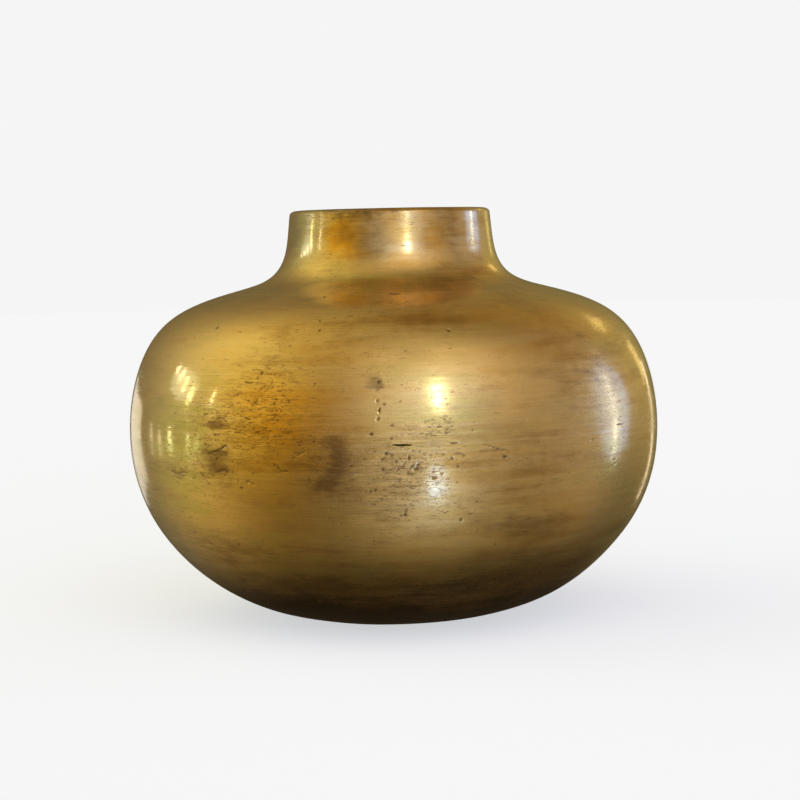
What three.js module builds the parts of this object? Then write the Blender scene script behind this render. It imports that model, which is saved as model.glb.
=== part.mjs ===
// Brass kalash pot: a squat round water pot with a short straight collar, made the traditional way
// from three brass shells (bowl, shoulder, collar) that are lapped over each other and brazed.
// Units are millimetres, +Z is up, and the origin is the centre of the foot, on the surface the pot stands on.
// Every piece is a surface of revolution about Z, so the laps and the brazing metal in them share one axis.
import * as THREE from "three";
import { mergeVertices } from "three/addons/utils/BufferGeometryUtils.js";

// ---------------------------------------------------------------- driving dimensions
const SEGMENTS = 56; // facets round the axis, a multiple of 4
const HEIGHT = 244.8; // foot to the top of the lip
const MAX_RADIUS = 160; // belly, outside
const FOOT_OUTER_R = 50; // the flat ring the pot stands on
const FOOT_INNER_R = 30;
const DISH_RISE = 1.6; // the middle of the base is dished up, so that only the ring touches

const WALL_BASE = 3.0; // wall thickness under the foot
const WALL_BOWL = 2.5; // bowl and shoulder
const WALL_SEAM = 3.0; // at both laps, where two half thicknesses lie on each other
const WALL_COLLAR = 2.7;

const BELLY_SEAM_Z = 117; // outer line of the belly lap, at the widest diameter
const BELLY_LAP = 9; // how far the shoulder's tongue reaches down inside the bowl
const COLLAR_SEAM_R = 97; // outer line of the collar lap, on the shoulder
const COLLAR_LAP = 8; // how far the shoulder's tongue reaches in under the collar's skirt

const BRAZE_LINE = 0.5; // width of the brazing metal where it shows
const BRAZE_FILM = 0.3; // thickness of the brazing metal between the two laps

const LIP_INNER_R = 53.2; // mouth
const LIP_CREST_OUTER_R = 56; // flat top of the lip
const LIP_CREST_INNER_R = 54.4;
const LIP_DEPTH = 6; // height of the thick part of the lip
const LIP_BLEND = 10; // height of the cove from the lip to the collar wall

// Outer surface, foot to collar, as [radius, height] stations of one smooth curve.
const OUTER = [
  [50, 0], [58.06, 1.07], [65.92, 2.51], [73.71, 4.34], [81.39, 6.6], [88.89, 9.36],
  [96.16, 12.7], [103.15, 16.58], [109.86, 20.94], [116.27, 25.73], [122.37, 30.9], [128.14, 36.43],
  [133.59, 42.29], [138.67, 48.47], [143.31, 54.99], [147.43, 61.84], [150.97, 69.01], [153.91, 76.45],
  [156.25, 84.09], [158.01, 91.9], [159.21, 99.81], [159.86, 107.78], [160, 115.78], [159.61, 123.76],
  [158.7, 131.71], [157.22, 139.57], [155.15, 147.3], [152.48, 154.84], [149.17, 162.11], [145.02, 168.95],
  [139.92, 175.1], [133.96, 180.43], [127.72, 184.58], [121.49, 187.76], [115.47, 190.2], [109.8, 192.18],
  [104.09, 194.02], [98.34, 195.71], [93.02, 197.13], [87.72, 198.58], [82.94, 200.07], [78.27, 201.84],
  [74.25, 203.86], [70.65, 206.54], [67.73, 209.95], [65.57, 213.89], [63.93, 218.61], [62.71, 224.48],
  [61.73, 231.92], [60.65, 241.99],
];

// ---------------------------------------------------------------- the outer curve and its offsets
const curve = new THREE.CatmullRomCurve3(
  OUTER.map(([r, z]) => new THREE.Vector3(r, z, 0)),
  false,
  "centripetal",
);
const STEPS = 2400;
const samples = [];
for (let i = 0; i <= STEPS; i++) {
  const p = curve.getPoint(i / STEPS);
  samples.push([p.x, p.y]);
}
// Share of the curve at which the surface first reaches a height or, past the belly, a radius.
const atHeight = (z) => {
  for (let i = 1; i <= STEPS; i++)
    if (samples[i][1] >= z) {
      const t = (z - samples[i - 1][1]) / (samples[i][1] - samples[i - 1][1]);
      return (i - 1 + t) / STEPS;
    }
  return 1;
};
const atRadiusAbove = (r) => {
  for (let i = STEPS; i >= 1; i--)
    if (samples[i][0] <= r && samples[i - 1][0] >= r) {
      const t = (r - samples[i - 1][0]) / (samples[i][0] - samples[i - 1][0]);
      return (i - 1 + t) / STEPS;
    }
  return 1;
};
// The point a depth inside the outer surface, at a share u of the curve.
const inside = (u, depth) => {
  const a = curve.getPoint(Math.max(0, u - 1e-4));
  const b = curve.getPoint(Math.min(1, u + 1e-4));
  const p = curve.getPoint(u);
  const length = Math.hypot(b.x - a.x, b.y - a.y);
  const nr = (b.y - a.y) / length;
  const nz = -(b.x - a.x) / length;
  return [p.x - nr * depth, p.y - nz * depth];
};
const run = (from, to, count, depth) =>
  Array.from({ length: count + 1 }, (_, i) => {
    const u = from + ((to - from) * i) / count;
    return inside(u, typeof depth === "function" ? depth(u) : depth);
  });

// Shares of the curve at the two seams and at the ends of their tongues.
const uFoot = 0;
const uBellyTop = atHeight(BELLY_SEAM_Z + BRAZE_LINE / 2);
const uBellyLow = atHeight(BELLY_SEAM_Z - BRAZE_LINE / 2);
const uTongueEnd = atHeight(BELLY_SEAM_Z - BELLY_LAP);
const uPocketEnd = atHeight(BELLY_SEAM_Z - BELLY_LAP - BRAZE_LINE);
const uCollarOut = atRadiusAbove(COLLAR_SEAM_R + BRAZE_LINE / 2);
const uCollarIn = atRadiusAbove(COLLAR_SEAM_R - BRAZE_LINE / 2);
const uShoulderTongue = atRadiusAbove(COLLAR_SEAM_R - COLLAR_LAP);
const uShoulderPocket = atRadiusAbove(COLLAR_SEAM_R - COLLAR_LAP - BRAZE_LINE);
const uLip = 1;

const MID = WALL_SEAM / 2;
const FILM_OUT = MID - BRAZE_FILM / 2;
const FILM_IN = MID + BRAZE_FILM / 2;
// Wall thickness along the curve: foot, then bowl, swelling to the full lap thickness at each seam.
const smooth = (x) => (x <= 0 ? 0 : x >= 1 ? 1 : x * x * (3 - 2 * x));
const nearSeam = (u, a, b, reach) => Math.min(smooth((u - a + reach) / reach), smooth((b + reach - u) / reach));
const wall = (u) => {
  const body = WALL_BASE + (WALL_BOWL - WALL_BASE) * smooth(u / 0.15);
  const upper = body + (WALL_COLLAR - body) * smooth((u - uShoulderPocket) / 0.1);
  const swell = Math.max(nearSeam(u, uPocketEnd, uBellyTop, 0.05), nearSeam(u, uCollarOut, uShoulderPocket, 0.05));
  return upper + (WALL_SEAM - upper) * swell;
};

// ---------------------------------------------------------------- one closed body from a ring section
// Points run anticlockwise in the (radius, height) plane, so that the faces point out.
const area = (p) => p.reduce((s, [x, y], i) => {
  const [x2, y2] = p[(i + 1) % p.length];
  return s + x * y2 - x2 * y;
}, 0) / 2;
function turned(section, touchesAxis) {
  const points = area(section) > 0 ? section : [...section].reverse();
  const outline = points.map(([r, z]) => new THREE.Vector2(r, z));
  if (!touchesAxis) outline.push(outline[0].clone());
  const made = new THREE.LatheGeometry(outline, SEGMENTS);
  made.rotateX(Math.PI / 2); // the lathe turns about Y, and the pot stands along Z
  made.deleteAttribute("normal");
  made.deleteAttribute("uv");
  const merged = mergeVertices(made, 1e-4);
  // Drop the faces that have no area where the section meets the axis.
  const index = merged.index.array;
  const kept = [];
  for (let i = 0; i < index.length; i += 3)
    if (index[i] !== index[i + 1] && index[i + 1] !== index[i + 2] && index[i] !== index[i + 2])
      kept.push(index[i], index[i + 1], index[i + 2]);
  merged.setIndex(kept);
  merged.computeVertexNormals();
  return merged;
}

const root = new THREE.Group();
root.name = "kalash_pot";
const brass = (hex, roughness) => new THREE.MeshStandardMaterial({ color: hex, roughness, metalness: 1 });
function piece(name, section, material, touchesAxis = false) {
  const mesh = new THREE.Mesh(turned(section, touchesAxis), material);
  mesh.name = name;
  root.add(mesh);
  return mesh;
}

// ---------------------------------------------------------------- bowl: foot, lower half and the pocket for the shoulder's tongue
// The section opens on the axis: under the base, out along the foot and up the outside, then back down the inside.
const bowl = [
  [0, DISH_RISE],
  [16, DISH_RISE * 0.82],
  [26, DISH_RISE * 0.25],
  [FOOT_INNER_R, 0],
  ...run(uFoot, uBellyLow, 17, 0),
  inside(uBellyLow, FILM_OUT),
  inside(uPocketEnd, FILM_OUT),
  inside(uPocketEnd, WALL_SEAM),
  ...run(uPocketEnd, uFoot + 0.02, 14, wall).slice(1),
  [FOOT_INNER_R + 4, WALL_BASE],
  [16, WALL_BASE + DISH_RISE * 0.7],
  [0, WALL_BASE + DISH_RISE],
];
piece("bowl", bowl, brass(0x7a5a22, 0.42), true);

// ---------------------------------------------------------------- shoulder: the upper half, with a tongue at each end
const shoulder = [
  ...run(uBellyTop, uCollarOut, 13, 0),
  inside(uCollarOut, FILM_IN),
  inside((uCollarOut + uShoulderTongue) / 2, FILM_IN),
  inside(uShoulderTongue, FILM_IN),
  inside(uShoulderTongue, WALL_SEAM),
  ...run(uCollarOut, uBellyTop, 11, wall),
  inside(uTongueEnd, WALL_SEAM),
  inside(uTongueEnd, FILM_IN),
  inside(uBellyTop, FILM_IN),
];
piece("shoulder", shoulder, brass(0xa67c35, 0.36));

// ---------------------------------------------------------------- collar: skirt, neck and thick rounded lip
const lipR = OUTER[OUTER.length - 1][0];
const lipZ = OUTER[OUTER.length - 1][1];
const roundOut = Array.from({ length: 5 }, (_, i) => {
  const a = ((i + 1) / 5) * (Math.PI / 2);
  return [
    LIP_CREST_OUTER_R + (lipR - LIP_CREST_OUTER_R) * Math.cos(a),
    lipZ + (HEIGHT - lipZ) * Math.sin(a),
  ];
});
const inR = LIP_CREST_INNER_R - LIP_INNER_R;
const roundIn = Array.from({ length: 3 }, (_, i) => {
  const a = (i / 2) * (Math.PI / 2);
  return [LIP_CREST_INNER_R - inR * Math.sin(a), HEIGHT - inR * (1 - Math.cos(a))];
});
const uCove = atHeight(HEIGHT - LIP_DEPTH - LIP_BLEND);
const coveEnd = inside(uCove, WALL_COLLAR);
const cove = [1, 2, 3, 4].map((i) => {
  const t = i / 5;
  const r = LIP_INNER_R + (coveEnd[0] - LIP_INNER_R) * smooth(t);
  return [r, HEIGHT - LIP_DEPTH - (HEIGHT - LIP_DEPTH - coveEnd[1]) * t];
});
const collar = [
  ...run(uCollarIn, uLip, 17, 0),
  ...roundOut,
  ...roundIn,
  [LIP_INNER_R, HEIGHT - LIP_DEPTH],
  ...cove,
  ...run(uCove, uShoulderPocket, 10, wall),
  inside(uShoulderPocket, FILM_OUT),
  inside((uCollarIn + uShoulderPocket) / 2, FILM_OUT),
  inside(uCollarIn, FILM_OUT),
];
piece("collar", collar, brass(0xa98244, 0.34));

// ---------------------------------------------------------------- brazing metal: one stepped ring in each lap
const bellyBraze = [
  inside(uBellyLow, 0),
  inside(uBellyTop, 0),
  inside(uBellyTop, FILM_IN),
  inside(uTongueEnd, FILM_IN),
  inside(uTongueEnd, WALL_SEAM),
  inside(uPocketEnd, WALL_SEAM),
  inside(uPocketEnd, FILM_OUT),
  inside(uBellyLow, FILM_OUT),
];
piece("belly_braze_ring", bellyBraze, brass(0xc2a45a, 0.4));

const collarBraze = [
  inside(uCollarOut, 0),
  inside(uCollarIn, 0),
  inside(uCollarIn, FILM_OUT),
  inside((uCollarIn + uShoulderPocket) / 2, FILM_OUT),
  inside(uShoulderPocket, FILM_OUT),
  inside(uShoulderPocket, WALL_SEAM),
  inside(uShoulderTongue, WALL_SEAM),
  inside(uShoulderTongue, FILM_IN),
  inside((uCollarOut + uShoulderTongue) / 2, FILM_IN),
  inside(uCollarOut, FILM_IN),
];
piece("collar_braze_ring", collarBraze, brass(0xc2a45a, 0.4));

export default root;
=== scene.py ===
import math

import bpy
import numpy as np
from mathutils import Matrix, Vector


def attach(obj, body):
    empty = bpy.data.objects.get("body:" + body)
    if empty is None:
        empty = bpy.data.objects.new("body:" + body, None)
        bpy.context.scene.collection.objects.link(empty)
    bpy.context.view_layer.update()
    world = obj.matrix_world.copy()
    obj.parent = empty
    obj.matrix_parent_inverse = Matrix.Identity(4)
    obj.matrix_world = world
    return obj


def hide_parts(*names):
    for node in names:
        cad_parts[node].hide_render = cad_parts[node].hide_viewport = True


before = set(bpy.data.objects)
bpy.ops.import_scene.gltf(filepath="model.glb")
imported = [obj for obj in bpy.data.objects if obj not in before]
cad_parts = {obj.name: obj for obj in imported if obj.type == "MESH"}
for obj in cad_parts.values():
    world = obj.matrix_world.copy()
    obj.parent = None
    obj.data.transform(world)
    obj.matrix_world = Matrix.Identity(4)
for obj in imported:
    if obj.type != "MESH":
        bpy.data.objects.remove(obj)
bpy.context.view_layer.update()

MM = 0.001
rng = np.random.default_rng(873)

# ------------------------------------------------------------------ the CAD's own dimensions, in millimetres
HEIGHT = 244.8
FOOT_INNER_R = 30.0
DISH_RISE = 1.6
WALL_BASE, WALL_BOWL, WALL_SEAM, WALL_COLLAR = 3.0, 2.5, 3.0, 2.7
BELLY_SEAM_Z, BELLY_LAP = 117.0, 9.0
COLLAR_SEAM_R, COLLAR_LAP = 97.0, 8.0
BRAZE_LINE, BRAZE_FILM = 0.5, 0.3
LIP_INNER_R, LIP_CREST_OUTER_R, LIP_CREST_INNER_R = 53.2, 56.0, 54.4
LIP_DEPTH, LIP_BLEND = 6.0, 10.0
OUTER = [
    (50, 0), (58.06, 1.07), (65.92, 2.51), (73.71, 4.34), (81.39, 6.6), (88.89, 9.36),
    (96.16, 12.7), (103.15, 16.58), (109.86, 20.94), (116.27, 25.73), (122.37, 30.9), (128.14, 36.43),
    (133.59, 42.29), (138.67, 48.47), (143.31, 54.99), (147.43, 61.84), (150.97, 69.01), (153.91, 76.45),
    (156.25, 84.09), (158.01, 91.9), (159.21, 99.81), (159.86, 107.78), (160, 115.78), (159.61, 123.76),
    (158.7, 131.71), (157.22, 139.57), (155.15, 147.3), (152.48, 154.84), (149.17, 162.11), (145.02, 168.95),
    (139.92, 175.1), (133.96, 180.43), (127.72, 184.58), (121.49, 187.76), (115.47, 190.2), (109.8, 192.18),
    (104.09, 194.02), (98.34, 195.71), (93.02, 197.13), (87.72, 198.58), (82.94, 200.07), (78.27, 201.84),
    (74.25, 203.86), (70.65, 206.54), (67.73, 209.95), (65.57, 213.89), (63.93, 218.61), (62.71, 224.48),
    (61.73, 231.92), (60.65, 241.99),
]


def catmull(points, count):
    """The CAD's centripetal curve through the stations."""
    p = np.array(points, float)
    n = len(p)
    out = []
    for t in np.linspace(0, n - 1, count):
        i = min(int(t), n - 2)
        w = t - i
        a = p[i - 1] if i > 0 else 2 * p[0] - p[1]
        b, c = p[i], p[i + 1]
        d = p[i + 2] if i + 2 < n else 2 * p[-1] - p[-2]
        k0, k1, k2 = (math.dist(u, v) ** 0.5 for u, v in ((a, b), (b, c), (c, d)))
        m0 = ((b - a) / k0 - (c - a) / (k0 + k1) + (c - b) / k1) * k1
        m1 = ((c - b) / k1 - (d - b) / (k1 + k2) + (d - c) / k2) * k1
        out.append(b + m0 * w + (3 * (c - b) - 2 * m0 - m1) * w * w + (2 * (b - c) + m0 + m1) * w**3)
    return np.array(out)


# The curve is evened out over about 5 mm, so that reflections run over it without a kink at any station.
raw = catmull(OUTER, 4000)
arc = np.concatenate([[0], np.cumsum(np.hypot(*np.diff(raw, axis=0).T))])
LENGTH = float(arc[-1])
COUNT = 1000
S = np.linspace(0, LENGTH, COUNT)
even = np.stack([np.interp(S, arc, raw[:, 0]), np.interp(S, arc, raw[:, 1])], 1)
third = np.diff(np.eye(COUNT), 3, axis=0)
weight = np.ones(COUNT)
weight[[0, -1]] = 1e5
CURVE = np.linalg.solve(np.diag(weight) + (5.0 / (S[1] - S[0])) ** 6 * third.T @ third, weight[:, None] * even)
tangent = np.gradient(CURVE, axis=0)
tangent /= np.hypot(*tangent.T)[:, None]
NORMAL = np.stack([tangent[:, 1], -tangent[:, 0]], 1)


def at(s):
    return np.array([np.interp(s, S, CURVE[:, 0]), np.interp(s, S, CURVE[:, 1])]).T


def normal_at(s):
    n = np.array([np.interp(s, S, NORMAL[:, 0]), np.interp(s, S, NORMAL[:, 1])]).T
    return n / np.linalg.norm(n, axis=-1, keepdims=True)


def s_at_height(z):
    return float(np.interp(z, CURVE[:, 1], S))


def s_at_radius_above(r):
    half = CURVE[:, 0].argmax()
    return float(np.interp(-r, -CURVE[half:, 0], S[half:]))


S_BELLY_TOP = s_at_height(BELLY_SEAM_Z + BRAZE_LINE / 2)
S_BELLY_LOW = s_at_height(BELLY_SEAM_Z - BRAZE_LINE / 2)
S_TONGUE = s_at_height(BELLY_SEAM_Z - BELLY_LAP)
S_POCKET = s_at_height(BELLY_SEAM_Z - BELLY_LAP - BRAZE_LINE)
S_COLLAR_OUT = s_at_radius_above(COLLAR_SEAM_R + BRAZE_LINE / 2)
S_COLLAR_IN = s_at_radius_above(COLLAR_SEAM_R - BRAZE_LINE / 2)
S_SH_TONGUE = s_at_radius_above(COLLAR_SEAM_R - COLLAR_LAP)
S_SH_POCKET = s_at_radius_above(COLLAR_SEAM_R - COLLAR_LAP - BRAZE_LINE)
FILM_OUT, FILM_IN = WALL_SEAM / 2 - BRAZE_FILM / 2, WALL_SEAM / 2 + BRAZE_FILM / 2


def smooth(x):
    x = np.clip(x, 0, 1)
    return x * x * (3 - 2 * x)


def near(s, low, high, reach):
    return np.minimum(smooth((s - low + reach) / reach), smooth((high + reach - s) / reach))


def wall(s):
    body = WALL_BASE + (WALL_BOWL - WALL_BASE) * smooth(s / 52)
    upper = body + (WALL_COLLAR - body) * smooth((s - S_SH_POCKET) / 30)
    swell = np.maximum(near(s, S_POCKET, S_BELLY_TOP, 17), near(s, S_COLLAR_OUT, S_SH_POCKET, 12))
    return upper + (WALL_SEAM - upper) * swell


# ------------------------------------------------------------------ unevenness and flaws of the outer surface
def waves(count, low, high, seed):
    """Random smooth noise over the round surface: harmonics round the axis with a drift along it."""
    g = np.random.default_rng(seed)
    k = g.integers(low, high + 1, count)
    return k, g.uniform(0, 2 * math.pi, count), g.uniform(-1, 1, count), g.uniform(0, 2 * math.pi, count), g.normal(0, 1, count)


LUMPS = waves(26, 2, 9, 11)
RIPPLES = waves(40, 9, 26, 12)


def spread(set_of, theta, s, length):
    out = 0.0
    for k, a, q, b, amp in zip(*set_of):
        out = out + amp * np.sin(k * theta + a + q * 2.2 * s / length) * np.sin(2 * math.pi * s / (length * (0.8 + abs(q))) + b)
    return out / math.sqrt(len(set_of[0]))


def uneven(theta, s):
    """Millimetres out of true: slow lumps of hand work, finer planishing ripples and faint turning rings."""
    lumps = 0.16 * spread(LUMPS, theta, s, 90.0)
    ripples = 0.030 * spread(RIPPLES, theta, s, 26.0)
    rings = 0.010 * np.sin(s * 1.15 + 0.8 * np.sin(s * 0.21)) + 0.007 * np.sin(s * 2.3 + 1.7 * np.sin(s * 0.13) + 0.4 * np.sin(theta))
    fade = smooth(s / 25.0)
    return (lumps + ripples + rings) * fade


# Each groove is a line of (angle from the front in degrees, height in mm) with its width and depth in mm.
# The first ones are where the brazing metal of the belly seam has drawn back, the rest are cold shuts and nicks.
GROOVES = [
    ([(-0.5, 117.15), (0.5, 117.0), (1.5, 116.9), (2.5, 116.9), (3.5, 116.8)], 0.85, 0.9),
    ([(3.6, 116.1), (4.6, 115.8), (5.7, 115.9)], 0.8, 0.14),
    ([(6.2, 115.8), (6.6, 116.8), (7.05, 116.9), (7.35, 115.9)], 0.6, 0.16),
    ([(10.7, 117.2), (11.5, 117.05), (12.5, 117.2)], 0.85, 0.45),
    ([(17.2, 115.8), (18.6, 114.9), (19.8, 113.7), (21.1, 112.5), (22.3, 111.7), (23.6, 109.6)], 0.9, 0.30),
    ([(16.6, 112.2), (18.1, 111.9), (19.6, 111.9), (21.6, 112.4)], 0.7, 0.10),
    ([(-3.2, 141.6), (-3.1, 139.8)], 1.0, 0.6),
    ([(-2.6, 137.6), (-2.8, 134.0)], 0.9, 0.7),
    ([(-3.55, 131.3), (-3.1, 130.7), (-2.75, 132.1)], 0.95, 0.6),
    ([(2.7, 111.7), (2.7, 107.8)], 0.75, 0.45),
    ([(-37.5, 130.7), (-36.2, 130.6), (-34.8, 128.3)], 1.2, 0.4),
    ([(-39.7, 129.1), (-39.6, 126.6)], 0.9, 0.3),
    ([(-39.8, 111.2), (-37.8, 112.2), (-36.2, 114.2), (-35.1, 115.9), (-34.3, 113.3)], 1.3, 0.45),
    ([(-37.9, 101.1), (-36.0, 102.3), (-34.6, 101.0)], 1.3, 0.4),
    ([(-19.9, 113.8), (-18.8, 112.2), (-17.2, 114.2)], 0.9, 0.4),
    ([(-24.4, 107.0), (-23.4, 105.7), (-22.4, 102.5), (-21.1, 103.0)], 1.0, 0.5),
    ([(-31.3, 96.9), (-30.1, 96.3), (-28.5, 95.0)], 1.0, 0.4),
    ([(-32.8, 96.6), (-32.2, 96.6)], 1.0, 0.35),
    ([(-1.0, 196.4), (1.0, 196.05), (3.3, 196.1)], 0.9, 0.6),
    ([(12.4, 177.0), (13.4, 176.2)], 0.9, 0.45),
    ([(-52.9, 99.2), (-50.0, 97.6), (-47.4, 99.8)], 1.2, 0.35),
    ([(-52.4, 65.3), (-52.6, 62.2)], 1.2, 0.35),
    ([(43.3, 114.3), (43.9, 111.4)], 0.9, 0.3),
    ([(50.4, 103.0), (51.9, 96.3)], 0.9, 0.3),
    ([(53.2, 87.3), (55.3, 79.7)], 0.8, 0.25),
    ([(51.5, 119.7), (54.6, 119.5)], 0.8, 0.2),
    # the same sort of flaws round the sides and back
    ([(97.0, 117.1), (99.1, 116.9)], 1.0, 0.8),
    ([(142.0, 116.9), (146.5, 117.1)], 1.1, 1.0),
    ([(204.0, 117.0), (206.0, 117.1)], 0.9, 0.6),
    ([(251.0, 117.1), (254.5, 116.9)], 1.0, 0.8),
    ([(165.0, 103.0), (168.5, 100.0)], 1.1, 0.4),
    ([(222.0, 131.0), (225.0, 132.5), (227.0, 131.0)], 1.1, 0.4),
    ([(184.0, 196.3), (187.5, 196.1)], 0.9, 0.5),
]
# Each pit is (angle, height, radius in mm, depth in mm); they are drawn a little smaller than listed.
PITS = [
    (-1.6, 112.6, 1.1, 0.45), (-0.5, 111.6, 0.9, 0.4), (-0.6, 120.5, 0.8, 0.35), (-2.35, 109.5, 0.9, 0.4),
    (-2.3, 104.0, 1.0, 0.4), (3.3, 105.6, 1.0, 0.45), (4.5, 106.1, 0.9, 0.45), (4.0, 103.8, 1.2, 0.5),
    (0.7, 103.9, 0.9, 0.4), (10.15, 124.6, 0.7, 0.3), (10.1, 122.4, 0.85, 0.35), (11.15, 108.9, 1.0, 0.4),
    (12.3, 111.7, 0.8, 0.35), (12.3, 104.7, 0.9, 0.4), (9.1, 100.9, 0.8, 0.35), (15.4, 123.5, 0.7, 0.3),
    (21.9, 108.3, 1.35, 0.5), (-2.9, 150.5, 1.1, 0.45), (-1.8, 138.9, 0.85, 0.35), (-0.4, 127.5, 0.9, 0.35),
    (-4.4, 123.1, 1.15, 0.5), (-31.9, 92.7, 1.0, 0.4), (7.55, 98.7, 1.0, 0.45), (1.85, 78.7, 1.05, 0.45),
    (1.05, 78.2, 0.8, 0.35), (2.0, 80.9, 0.8, 0.35), (-3.9, 92.9, 1.05, 0.4), (13.3, 74.6, 1.0, 0.45),
    (3.4, 56.4, 0.7, 0.25), (39.2, 39.1, 0.9, 0.3), (28.6, 72.8, 0.8, 0.3), (12.9, 176.4, 0.9, 0.35),
    (-21.9, 195.0, 0.7, 0.25), (-46.3, 178.8, 1.1, 0.35), (-16.6, 178.0, 0.8, 0.3), (-45.3, 161.6, 0.8, 0.3),
    (-27.8, 155.5, 1.1, 0.4), (-28.6, 152.8, 0.8, 0.3), (1.3, 140.3, 0.7, 0.3),
]
PITS = [(a, z, 0.82 * size, 0.62 * deep) for a, z, size, deep in PITS]
# Shallow bright dents, as (angle, height, radius in mm, depth in mm).
NICKS = [(-22.6, 24.3, 1.5, 0.30), (-17.8, 23.4, 1.5, 0.28), (-16.1, 24.3, 1.0, 0.20), (-9.3, 28.2, 1.1, 0.24), (-3.4, 146.6, 0.8, 0.15),
         (-39.5, 34.0, 1.2, 0.20), (60.0, 62.0, 1.4, 0.22), (33.0, 52.0, 1.2, 0.16)]
# Clusters of smaller pits, as (angle, height, spread of angle, spread of height, how many).
CLUSTERS = [
    (2.0, 105.0, 5.0, 7.0, 60), (9.0, 112.0, 5.5, 9.0, 26), (-3.0, 96.0, 5.0, 9.0, 22), (1.5, 80.0, 3.0, 5.0, 10),
    (-28.0, 133.0, 9.0, 8.0, 44), (-24.0, 147.0, 8.0, 6.0, 28), (-36.0, 104.0, 4.0, 9.0, 20), (-14.0, 108.0, 4.0, 9.0, 20),
    (8.0, 127.0, 4.0, 4.0, 26), (-19.0, 120.0, 7.0, 6.0, 20), (0.0, 60.0, 30.0, 10.0, 10),
]
for a, z, da, dz, n in CLUSTERS:
    for _ in range(n):
        u, v = rng.normal(0, 1, 2)
        size = 0.34 + 0.32 * rng.random() ** 2
        PITS.append((a + u * da * 0.6, float(np.clip(z + v * dz * 0.6, 12, 190)), size, 0.22 * size))


def flaws(theta, r, z):
    """(depth in mm of grooves and pits, share of dark dirt in them) at points of the outer surface."""
    depth = np.zeros_like(theta)
    dirt = np.zeros_like(theta)
    degree = np.degrees(theta)
    for line, width, deep in GROOVES:
        pts = np.array(line)
        mid = pts[:, 0].mean()
        turn = (degree - mid + 180) % 360 - 180
        span = (pts[:, 0].max() - pts[:, 0].min()) / 2 + 2.5
        picked = (np.abs(turn) < span) & (z > pts[:, 1].min() - 4) & (z < pts[:, 1].max() + 4)
        if not picked.any():
            continue
        along = np.radians(turn[picked]) * r[picked]
        up = z[picked]
        mm = np.stack([np.radians(pts[:, 0] - mid) * float(r[picked].mean()), pts[:, 1]], 1)
        total = np.hypot(*np.diff(mm, axis=0).T).sum()
        best = np.full(along.shape, 1e9)
        share = np.zeros(along.shape)
        done = 0.0
        for a, b in zip(mm[:-1], mm[1:]):
            v = b - a
            t = np.clip(((along - a[0]) * v[0] + (up - a[1]) * v[1]) / (v @ v), 0, 1)
            gap = np.hypot(along - a[0] - t * v[0], up - a[1] - t * v[1])
            closer = gap < best
            share = np.where(closer, (done + t * math.hypot(*v)) / total, share)
            best = np.minimum(best, gap)
            done += math.hypot(*v)
        # lens-shaped: full width in the middle and narrow at both ends
        lens = 0.12 + 0.88 * np.clip(4 * share * (1 - share), 0, 1) ** 0.7
        x = best / (0.5 * width * lens)
        cut = np.clip(1 - x * x, 0, 1) ** 0.7 * deep * lens
        rim = 0.10 * deep * np.exp(-(((best - 0.85 * width) / (0.45 * width)) ** 2))
        depth[picked] = np.maximum(depth[picked], cut) - rim * (cut <= 0)
        dirt[picked] = np.maximum(dirt[picked], np.clip(1.5 - x, 0, 1) * min(1.0, 0.35 + 0.75 * deep))
    for a, height, size, deep in PITS:
        turn = (degree - a + 180) % 360 - 180
        picked = (np.abs(z - height) < 3 * size) & (np.abs(np.radians(turn)) * r < 3.5 * size)
        if not picked.any():
            continue
        along = np.radians(turn[picked]) * r[picked]
        up = z[picked] - height
        lean = math.sin(a * 12.9 + height * 7.1)
        x = np.hypot(along / (size * (1.15 + 0.25 * lean)), up / (size * (0.9 - 0.15 * lean)))
        x = x * (1 + 0.18 * np.sin(3 * np.arctan2(up, along) + a * 5 + height))
        cut = np.clip(1 - x * x, 0, 1) ** 0.8 * deep
        depth[picked] = np.maximum(depth[picked], cut)
        dirt[picked] = np.maximum(dirt[picked], np.clip(1.6 - x, 0, 1) ** 1.3 * min(0.85, 0.25 + 0.8 * size))
    for a, height, size, deep in NICKS:
        turn = (degree - a + 180) % 360 - 180
        x = np.hypot(np.radians(turn) * r / (1.25 * size), (z - height) / size)
        depth = depth + np.where(x < 3, np.exp(-x * x) * deep, 0.0)
        dirt = dirt - np.where(x < 2.2, np.exp(-((x / 0.75) ** 2)), 0.0)
    return depth, dirt


# ------------------------------------------------------------------ patina with painted shade and painted reflections, as values on the mesh
def soft_noise(theta, z, scale, stretch, seed, octaves=3):
    """Smooth noise in about -1..1 with no seam, its features scale mm high and stretch times longer round the pot."""
    g = np.random.default_rng(seed)
    x, y = np.cos(theta) * 150.0, np.sin(theta) * 150.0
    out, amp, total = 0.0, 1.0, 0.0
    for o in range(octaves):
        size = scale / 2.0**o
        for _ in range(14):
            v = g.normal(0, 1, 3)
            phase = g.uniform(0, 2 * math.pi)
            out = out + amp * np.sin((x * v[0] / stretch + y * v[1] / stretch + z * v[2]) * 1.9 / size + phase)
        total += amp * amp * 7
        amp *= 0.6
    return out / math.sqrt(total)


def blob(theta, z, a, height, wide, tall, power=1.0):
    turn = (np.degrees(theta) - a + 180) % 360 - 180
    return np.exp(-((np.abs(turn / wide) ** 2 + np.abs((z - height) / tall) ** 2) ** power))


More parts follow.
